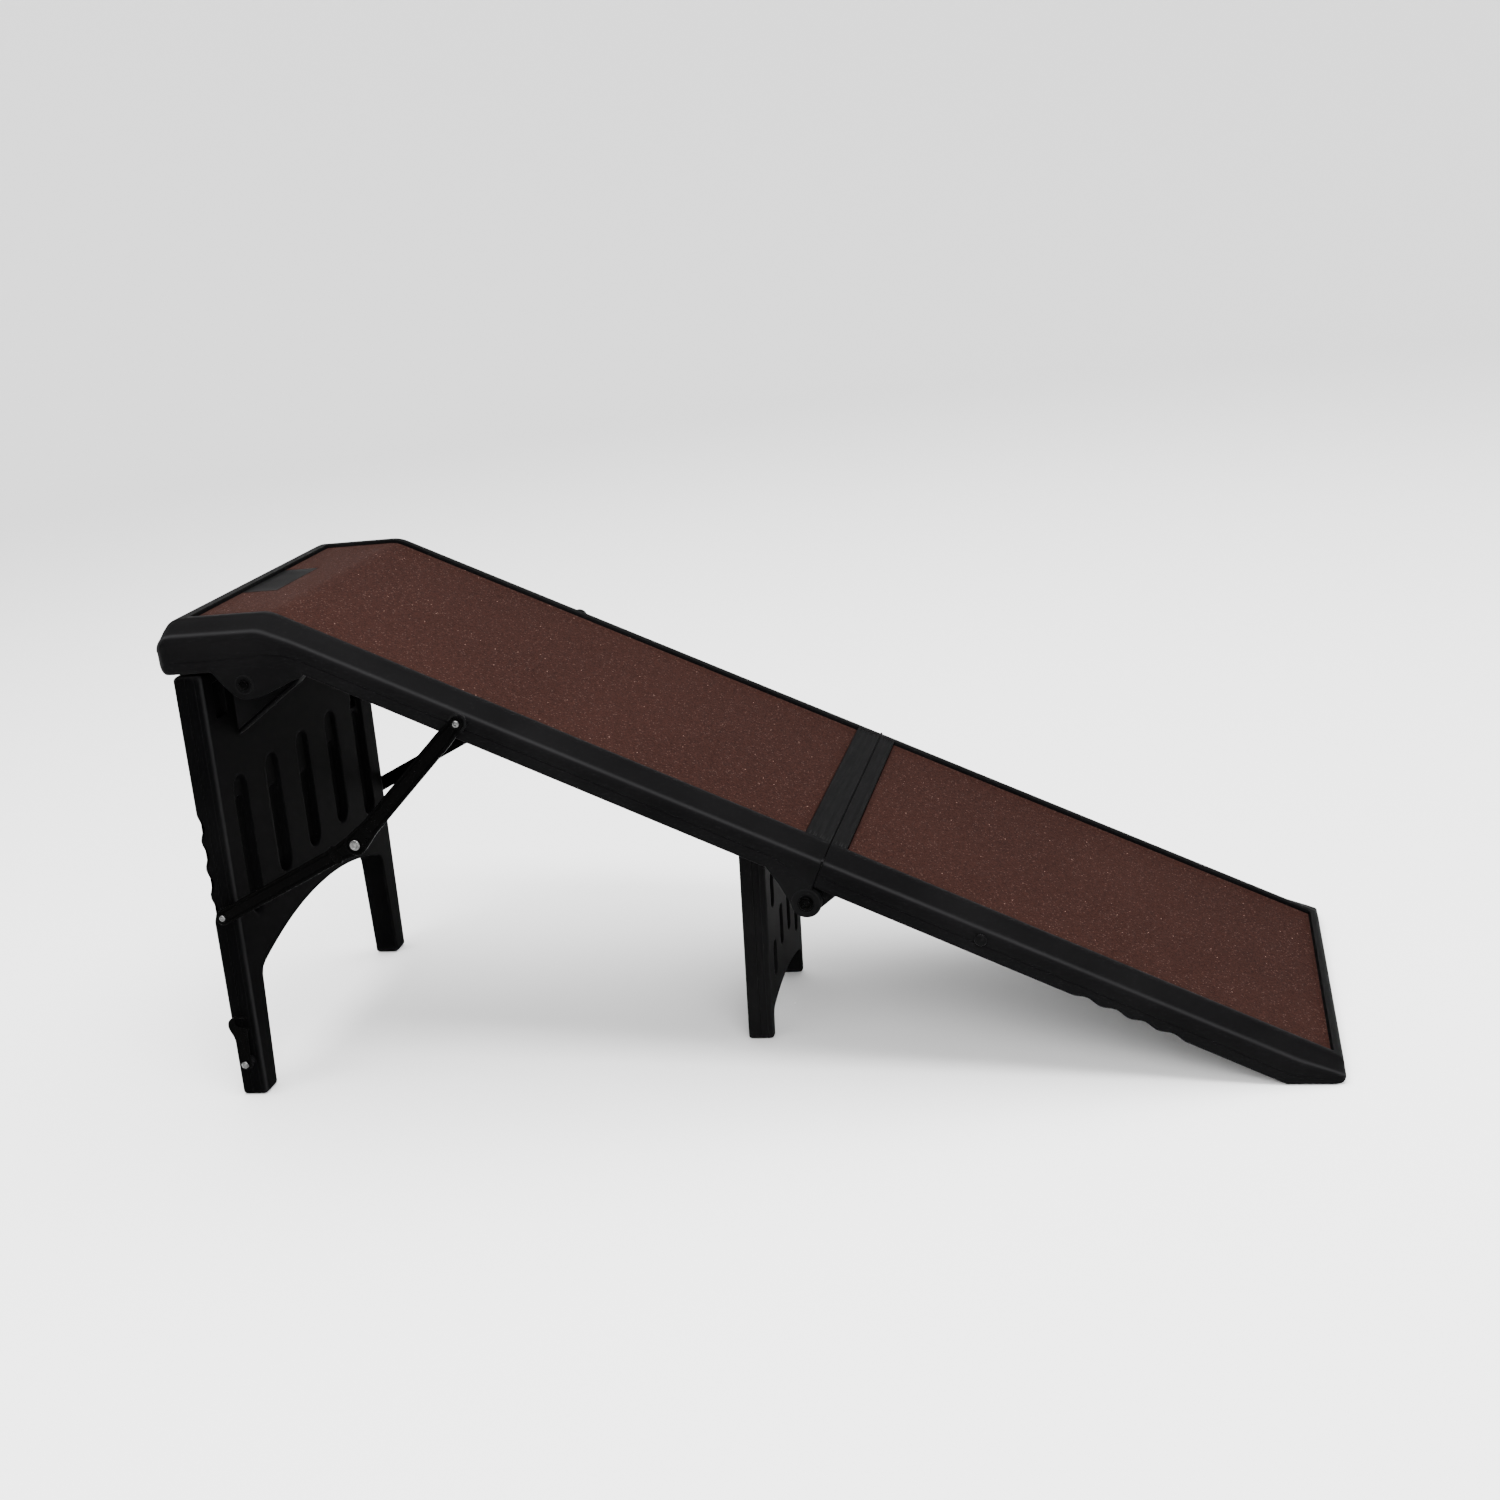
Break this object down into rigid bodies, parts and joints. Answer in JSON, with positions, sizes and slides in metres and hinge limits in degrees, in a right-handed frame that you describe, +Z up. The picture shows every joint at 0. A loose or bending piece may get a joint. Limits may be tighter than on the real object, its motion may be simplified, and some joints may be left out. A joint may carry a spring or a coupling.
{
  "type": "folding dog ramp",
  "caption": "Free-standing folding dog ramp: two railed decks with brown tread mats, level landing, two folding legs, folding braces and a side latch.",
  "frame": {"origin": "middle of the bounding box's base, on the floor", "axes": "+X towards the low end, +Y towards the far rail, +Z up"},
  "size_m": [1.245, 0.4926, 0.569],
  "materials": {
    "deck_plastic": "blow-moulded black plastic with a soft sheen",
    "leg_plastic": "blow-moulded black plastic with a soft sheen",
    "small_plastic": "moulded black plastic",
    "tread_mat": "dense brown tread with fine pale flecks",
    "black_steel": "gloss black coating",
    "zinc_steel": "zinc-plated"
  },
  "bodies": {
    "upper_section": {"upper_deck": "deck_plastic", "upper_tread_mat": "tread_mat", "tall_leg_hinge_rod": "zinc_steel", "tall_leg_rod_cap_near": "zinc_steel", "tall_leg_rod_cap_far": "zinc_steel", "mid_leg_hinge_rod": "zinc_steel", "deck_hinge_bolt_near": "black_steel", "deck_hinge_bolt_far": "black_steel", "deck_hinge_nut_near": "zinc_steel", "deck_hinge_nut_far": "zinc_steel", "brace_rail_bolt_near": "zinc_steel", "brace_rail_bolt_far": "zinc_steel", "brace_rail_bush_near": "small_plastic", "brace_rail_bush_far": "small_plastic"},
    "lower_section": {"lower_deck": "deck_plastic", "lower_tread_mat": "tread_mat", "latch_peg": "small_plastic"},
    "tall_leg": {"tall_leg_panel": "leg_plastic", "brace_leg_bolt_near": "zinc_steel", "brace_leg_bolt_far": "zinc_steel", "brace_leg_spacer_near": "small_plastic", "brace_leg_spacer_far": "small_plastic", "latch_rivet": "zinc_steel", "latch_spacer": "small_plastic"},
    "mid_leg": {"mid_leg_panel": "leg_plastic"},
    "upper_link_near": {"brace_upper_link_near": "black_steel", "brace_mid_rivet_near": "zinc_steel"},
    "upper_link_far": {"brace_upper_link_far": "black_steel", "brace_mid_rivet_far": "zinc_steel"},
    "lower_link_near": {"brace_lower_link_near": "black_steel"},
    "lower_link_far": {"brace_lower_link_far": "black_steel"},
    "latch": {"latch_hook": "black_steel"}
  },
  "joints": [
    {"name": "lower_deck_fold", "type": "hinge", "parent": "upper_section", "child": "lower_section", "pos_m": [0.07839, 0, 0.21956], "axis": [0, 1, 0], "range_deg": [0, 180]},
    {"name": "mid_leg_fold", "type": "hinge", "parent": "upper_section", "child": "mid_leg", "pos_m": [-0.00473, 0, 0.27766], "axis": [0, 1, 0], "range_deg": [0, 112.96]},
    {"name": "tall_leg_fold", "type": "hinge", "parent": "upper_section", "child": "tall_leg", "pos_m": [-0.5185, 0, 0.497], "axis": [0, -1, 0], "range_deg": [0, 65.31]},
    {"name": "brace_upper_near", "type": "hinge", "parent": "upper_section", "child": "upper_link_near", "pos_m": [-0.2785, 0, 0.441], "axis": [0, -1, 0], "range_deg": [0, 106.48]},
    {"name": "brace_lower_near", "type": "hinge", "parent": "tall_leg", "child": "lower_link_near", "pos_m": [-0.5965, 0, 0.227], "axis": [0, 1, 0], "range_deg": [0, 81]},
    {"name": "brace_upper_far", "type": "hinge", "parent": "upper_section", "child": "upper_link_far", "pos_m": [-0.2785, 0, 0.441], "axis": [0, -1, 0], "range_deg": [0, 106.48]},
    {"name": "brace_lower_far", "type": "hinge", "parent": "tall_leg", "child": "lower_link_far", "pos_m": [-0.5965, 0, 0.227], "axis": [0, 1, 0], "range_deg": [0, 81]},
    {"name": "latch_swing", "type": "hinge", "parent": "tall_leg", "child": "latch", "pos_m": [-0.6045, 0, 0.044], "axis": [0, 1, 0], "range_deg": [0, 111]}
  ],
  "couplings": [
    {"joint": "mid_leg_fold", "follows": "lower_deck_fold", "ratio": 0.62755},
    {"joint": "brace_upper_near", "follows": "tall_leg_fold", "ratio": 1.6302},
    {"joint": "brace_lower_near", "follows": "tall_leg_fold", "ratio": 1.2402},
    {"joint": "brace_upper_far", "follows": "tall_leg_fold", "ratio": 1.6302},
    {"joint": "brace_lower_far", "follows": "tall_leg_fold", "ratio": 1.2402}
  ]
}
